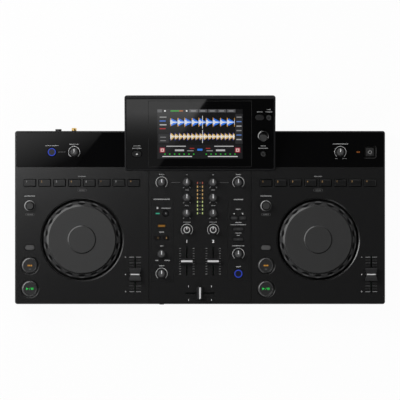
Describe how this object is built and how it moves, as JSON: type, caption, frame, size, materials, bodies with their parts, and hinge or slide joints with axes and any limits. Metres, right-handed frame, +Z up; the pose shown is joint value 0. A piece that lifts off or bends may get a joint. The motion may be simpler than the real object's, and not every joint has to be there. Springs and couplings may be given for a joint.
{
  "type": "all-in-one dj system",
  "caption": "Black all-in-one DJ system: dimpled jog wheel decks either side of a mixer with knobs and faders, and a raised tilted touch screen at the rear.",
  "frame": {"origin": "on the table under the middle of the whole outline, screen overhang included", "axes": "+X to the right, +Y to the rear, +Z up"},
  "size_m": [0.65, 0.3672, 0.1174],
  "materials": {
    "case": "fine matt black moulded plastic",
    "deck": "matt black painted panel",
    "gloss": "gloss black acrylic",
    "screen_glass": "black bonded glass over a display",
    "board": "green circuit boards with switches and potentiometers",
    "bush": "self-lubricating bearing plastic",
    "socket": "black socket mouldings with gilt and nickel barrels",
    "foot": "black rubber",
    "screw": "blackened steel screws",
    "jog": "satin black jog wheel",
    "knob": "rubber-coated black knob",
    "key": "matt black key",
    "fader": "satin black cap"
  },
  "bodies": {
    "chassis": {"bottom_case": "case", "top_panel": "deck", "mixer_panel": "deck", "gloss_panel": "gloss", "screen_housing": "case", "screen_bezel": "gloss", "touch_screen": "screen_glass", "control_boards": "board", "jog_bushes": "bush", "sockets": "socket", "rubber_feet": "foot", "case_screws": "screw"},
    "left_jog_wheel": {"left_jog_wheel": "jog"},
    "left_tempo_slider": {"left_tempo_slider": "fader"},
    "left_loop_knob": {"left_loop_knob": "knob"},
    "left_hot_cue_keys": {"left_hot_cue_keys": "key"},
    "left_shift_key": {"left_shift_key": "key"},
    "left_cue_button": {"left_cue_button": "key"},
    "left_play_button": {"left_play_button": "key"},
    "right_jog_wheel": {"right_jog_wheel": "jog"},
    "right_tempo_slider": {"right_tempo_slider": "fader"},
    "right_loop_knob": {"right_loop_knob": "knob"},
    "right_hot_cue_keys": {"right_hot_cue_keys": "key"},
    "right_shift_key": {"right_shift_key": "key"},
    "right_cue_button": {"right_cue_button": "key"},
    "right_play_button": {"right_play_button": "key"},
    "trim_knob_1": {"trim_knob_1": "knob"},
    "high_knob_1": {"high_knob_1": "knob"},
    "mid_knob_1": {"mid_knob_1": "knob"},
    "low_knob_1": {"low_knob_1": "knob"},
    "colour_knob_1": {"colour_knob_1": "knob"},
    "channel_fader_1": {"channel_fader_1": "fader"},
    "trim_knob_2": {"trim_knob_2": "knob"},
    "high_knob_2": {"high_knob_2": "knob"},
    "mid_knob_2": {"mid_knob_2": "knob"},
    "low_knob_2": {"low_knob_2": "knob"},
    "colour_knob_2": {"colour_knob_2": "knob"},
    "channel_fader_2": {"channel_fader_2": "fader"},
    "crossfader": {"crossfader": "fader"},
    "headphone_mix_knob": {"headphone_mix_knob": "knob"},
    "headphone_level_knob": {"headphone_level_knob": "knob"},
    "effect_level_knob": {"effect_level_knob": "knob"},
    "mic_level_knob": {"mic_level_knob": "knob"},
    "master_level_knob": {"master_level_knob": "knob"},
    "pairing_button": {"pairing_button": "key"},
    "master_cue_key": {"master_cue_key": "key"},
    "cue_key_1": {"cue_key_1": "key"},
    "cue_key_2": {"cue_key_2": "key"},
    "beat_left_key": {"beat_left_key": "key"},
    "beat_right_key": {"beat_right_key": "key"},
    "effect_select_key": {"effect_select_key": "key"},
    "effect_assign_key": {"effect_assign_key": "key"},
    "effect_button": {"effect_button": "key"},
    "mic_button": {"mic_button": "key"},
    "power_button": {"power_button": "key"},
    "settings_key": {"settings_key": "key"},
    "back_key": {"back_key": "key"},
    "tag_key": {"tag_key": "key"},
    "menu_key": {"menu_key": "key"},
    "browse_knob": {"browse_knob": "knob"}
  },
  "joints": [
    {"name": "left_jog_wheel_turn", "type": "hinge", "parent": "chassis", "child": "left_jog_wheel", "pos_m": [-0.2074, -0.06905, 0.062], "axis": [0, 0, 1], "continuous": true},
    {"name": "left_tempo_slider_slide", "type": "slide", "parent": "chassis", "child": "left_tempo_slider", "axis": [0, 1, 0], "range_m": [-0.03, 0.03]},
    {"name": "left_loop_knob_turn", "type": "hinge", "parent": "chassis", "child": "left_loop_knob", "pos_m": [-0.2989, -0.00967, 0.062], "axis": [0, 0, 1], "continuous": true},
    {"name": "left_hot_cue_keys_press", "type": "slide", "parent": "chassis", "child": "left_hot_cue_keys", "axis": [0, 0, -1], "range_m": [0, 0.0008], "stiffness_N_per_m": 600},
    {"name": "left_shift_key_press", "type": "slide", "parent": "chassis", "child": "left_shift_key", "axis": [0, 0, -1], "range_m": [0, 0.0008], "stiffness_N_per_m": 600},
    {"name": "left_cue_button_press", "type": "slide", "parent": "chassis", "child": "left_cue_button", "axis": [0, 0, -1], "range_m": [0, 0.0008], "stiffness_N_per_m": 600},
    {"name": "left_play_button_press", "type": "slide", "parent": "chassis", "child": "left_play_button", "axis": [0, 0, -1], "range_m": [0, 0.0008], "stiffness_N_per_m": 600},
    {"name": "right_jog_wheel_turn", "type": "hinge", "parent": "chassis", "child": "right_jog_wheel", "pos_m": [0.2074, -0.06905, 0.062], "axis": [0, 0, 1], "continuous": true},
    {"name": "right_tempo_slider_slide", "type": "slide", "parent": "chassis", "child": "right_tempo_slider", "axis": [0, 1, 0], "range_m": [-0.03, 0.03]},
    {"name": "right_loop_knob_turn", "type": "hinge", "parent": "chassis", "child": "right_loop_knob", "pos_m": [0.1159, -0.00967, 0.062], "axis": [0, 0, 1], "continuous": true},
    {"name": "right_hot_cue_keys_press", "type": "slide", "parent": "chassis", "child": "right_hot_cue_keys", "axis": [0, 0, -1], "range_m": [0, 0.0008], "stiffness_N_per_m": 600},
    {"name": "right_shift_key_press", "type": "slide", "parent": "chassis", "child": "right_shift_key", "axis": [0, 0, -1], "range_m": [0, 0.0008], "stiffness_N_per_m": 600},
    {"name": "right_cue_button_press", "type": "slide", "parent": "chassis", "child": "right_cue_button", "axis": [0, 0, -1], "range_m": [0, 0.0008], "stiffness_N_per_m": 600},
    {"name": "right_play_button_press", "type": "slide", "parent": "chassis", "child": "right_play_button", "axis": [0, 0, -1], "range_m": [0, 0.0008], "stiffness_N_per_m": 600},
    {"name": "trim_knob_1_turn", "type": "hinge", "parent": "chassis", "child": "trim_knob_1", "pos_m": [-0.0674, 0.03137, 0.062], "axis": [0, 0, 1], "range_deg": [-150, 150]},
    {"name": "high_knob_1_turn", "type": "hinge", "parent": "chassis", "child": "high_knob_1", "pos_m": [-0.0231, 0.03137, 0.062], "axis": [0, 0, 1], "range_deg": [-150, 150]},
    {"name": "mid_knob_1_turn", "type": "hinge", "parent": "chassis", "child": "mid_knob_1", "pos_m": [-0.0231, 0.00477, 0.062], "axis": [0, 0, 1], "range_deg": [-150, 150]},
    {"name": "low_knob_1_turn", "type": "hinge", "parent": "chassis", "child": "low_knob_1", "pos_m": [-0.0231, -0.02267, 0.062], "axis": [0, 0, 1], "range_deg": [-150, 150]},
    {"name": "colour_knob_1_turn", "type": "hinge", "parent": "chassis", "child": "colour_knob_1", "pos_m": [-0.0231, -0.05179, 0.062], "axis": [0, 0, 1], "range_deg": [-150, 150]},
    {"name": "channel_fader_1_slide", "type": "slide", "parent": "chassis", "child": "channel_fader_1", "axis": [0, 1, 0], "range_m": [-0.0225, 0.0225]},
    {"name": "trim_knob_2_turn", "type": "hinge", "parent": "chassis", "child": "trim_knob_2", "pos_m": [0.0674, 0.03137, 0.062], "axis": [0, 0, 1], "range_deg": [-150, 150]},
    {"name": "high_knob_2_turn", "type": "hinge", "parent": "chassis", "child": "high_knob_2", "pos_m": [0.0231, 0.03137, 0.062], "axis": [0, 0, 1], "range_deg": [-150, 150]},
    {"name": "mid_knob_2_turn", "type": "hinge", "parent": "chassis", "child": "mid_knob_2", "pos_m": [0.0231, 0.00477, 0.062], "axis": [0, 0, 1], "range_deg": [-150, 150]},
    {"name": "low_knob_2_turn", "type": "hinge", "parent": "chassis", "child": "low_knob_2", "pos_m": [0.0231, -0.02267, 0.062], "axis": [0, 0, 1], "range_deg": [-150, 150]},
    {"name": "colour_knob_2_turn", "type": "hinge", "parent": "chassis", "child": "colour_knob_2", "pos_m": [0.0231, -0.05179, 0.062], "axis": [0, 0, 1], "range_deg": [-150, 150]},
    {"name": "channel_fader_2_slide", "type": "slide", "parent": "chassis", "child": "channel_fader_2", "axis": [0, 1, 0], "range_m": [-0.0225, 0.0225]},
    {"name": "crossfader_slide", "type": "slide", "parent": "chassis", "child": "crossfader", "axis": [1, 0, 0], "range_m": [-0.0225, 0.0225]},
    {"name": "headphone_mix_knob_turn", "type": "hinge", "parent": "chassis", "child": "headphone_mix_knob", "pos_m": [-0.0674, -0.09415, 0.062], "axis": [0, 0, 1], "range_deg": [-150, 150]},
    {"name": "headphone_level_knob_turn", "type": "hinge", "parent": "chassis", "child": "headphone_level_knob", "pos_m": [-0.0674, -0.12893, 0.062], "axis": [0, 0, 1], "range_deg": [-150, 150]},
    {"name": "effect_level_knob_turn", "type": "hinge", "parent": "chassis", "child": "effect_level_knob", "pos_m": [0.0674, -0.09415, 0.062], "axis": [0, 0, 1], "range_deg": [-150, 150]},
    {"name": "mic_level_knob_turn", "type": "hinge", "parent": "chassis", "child": "mic_level_knob", "pos_m": [-0.221, 0.08475, 0.062], "axis": [0, 0, 1], "range_deg": [-150, 150]},
    {"name": "master_level_knob_turn", "type": "hinge", "parent": "chassis", "child": "master_level_knob", "pos_m": [0.2466, 0.08475, 0.062], "axis": [0, 0, 1], "range_deg": [-150, 150]},
    {"name": "pairing_button_press", "type": "slide", "parent": "chassis", "child": "pairing_button", "axis": [0, 0, -1], "range_m": [0, 0.0008], "stiffness_N_per_m": 600},
    {"name": "master_cue_key_press", "type": "slide", "parent": "chassis", "child": "master_cue_key", "axis": [0, 0, -1], "range_m": [0, 0.0008], "stiffness_N_per_m": 600},
    {"name": "cue_key_1_press", "type": "slide", "parent": "chassis", "child": "cue_key_1", "axis": [0, 0, -1], "range_m": [0, 0.0008], "stiffness_N_per_m": 600},
    {"name": "cue_key_2_press", "type": "slide", "parent": "chassis", "child": "cue_key_2", "axis": [0, 0, -1], "range_m": [0, 0.0008], "stiffness_N_per_m": 600},
    {"name": "beat_left_key_press", "type": "slide", "parent": "chassis", "child": "beat_left_key", "axis": [0, 0, -1], "range_m": [0, 0.0008], "stiffness_N_per_m": 600},
    {"name": "beat_right_key_press", "type": "slide", "parent": "chassis", "child": "beat_right_key", "axis": [0, 0, -1], "range_m": [0, 0.0008], "stiffness_N_per_m": 600},
    {"name": "effect_select_key_press", "type": "slide", "parent": "chassis", "child": "effect_select_key", "axis": [0, 0, -1], "range_m": [0, 0.0008], "stiffness_N_per_m": 600},
    {"name": "effect_assign_key_press", "type": "slide", "parent": "chassis", "child": "effect_assign_key", "axis": [0, 0, -1], "range_m": [0, 0.0008], "stiffness_N_per_m": 600},
    {"name": "effect_button_press", "type": "slide", "parent": "chassis", "child": "effect_button", "axis": [0, 0, -1], "range_m": [0, 0.0008], "stiffness_N_per_m": 600},
    {"name": "mic_button_press", "type": "slide", "parent": "chassis", "child": "mic_button", "axis": [0, 0, -1], "range_m": [0, 0.0008], "stiffness_N_per_m": 600},
    {"name": "power_button_press", "type": "slide", "parent": "chassis", "child": "power_button", "axis": [0, 0, -1], "range_m": [0, 0.0008], "stiffness_N_per_m": 600},
    {"name": "settings_key_press", "type": "slide", "parent": "chassis", "child": "settings_key", "axis": [0, 0.3746, -0.9272], "range_m": [0, 0.0008], "stiffness_N_per_m": 600},
    {"name": "back_key_press", "type": "slide", "parent": "chassis", "child": "back_key", "axis": [0, 0.3746, -0.9272], "range_m": [0, 0.0008], "stiffness_N_per_m": 600},
    {"name": "tag_key_press", "type": "slide", "parent": "chassis", "child": "tag_key", "axis": [0, 0.3746, -0.9272], "range_m": [0, 0.0008], "stiffness_N_per_m": 600},
    {"name": "menu_key_press", "type": "slide", "parent": "chassis", "child": "menu_key", "axis": [0, 0.3746, -0.9272], "range_m": [0, 0.0008], "stiffness_N_per_m": 600},
    {"name": "browse_knob_turn", "type": "hinge", "parent": "chassis", "child": "browse_knob", "pos_m": [0.11081, 0.11392, 0.0908], "axis": [0, -0.3746, 0.9272], "continuous": true}
  ]
}
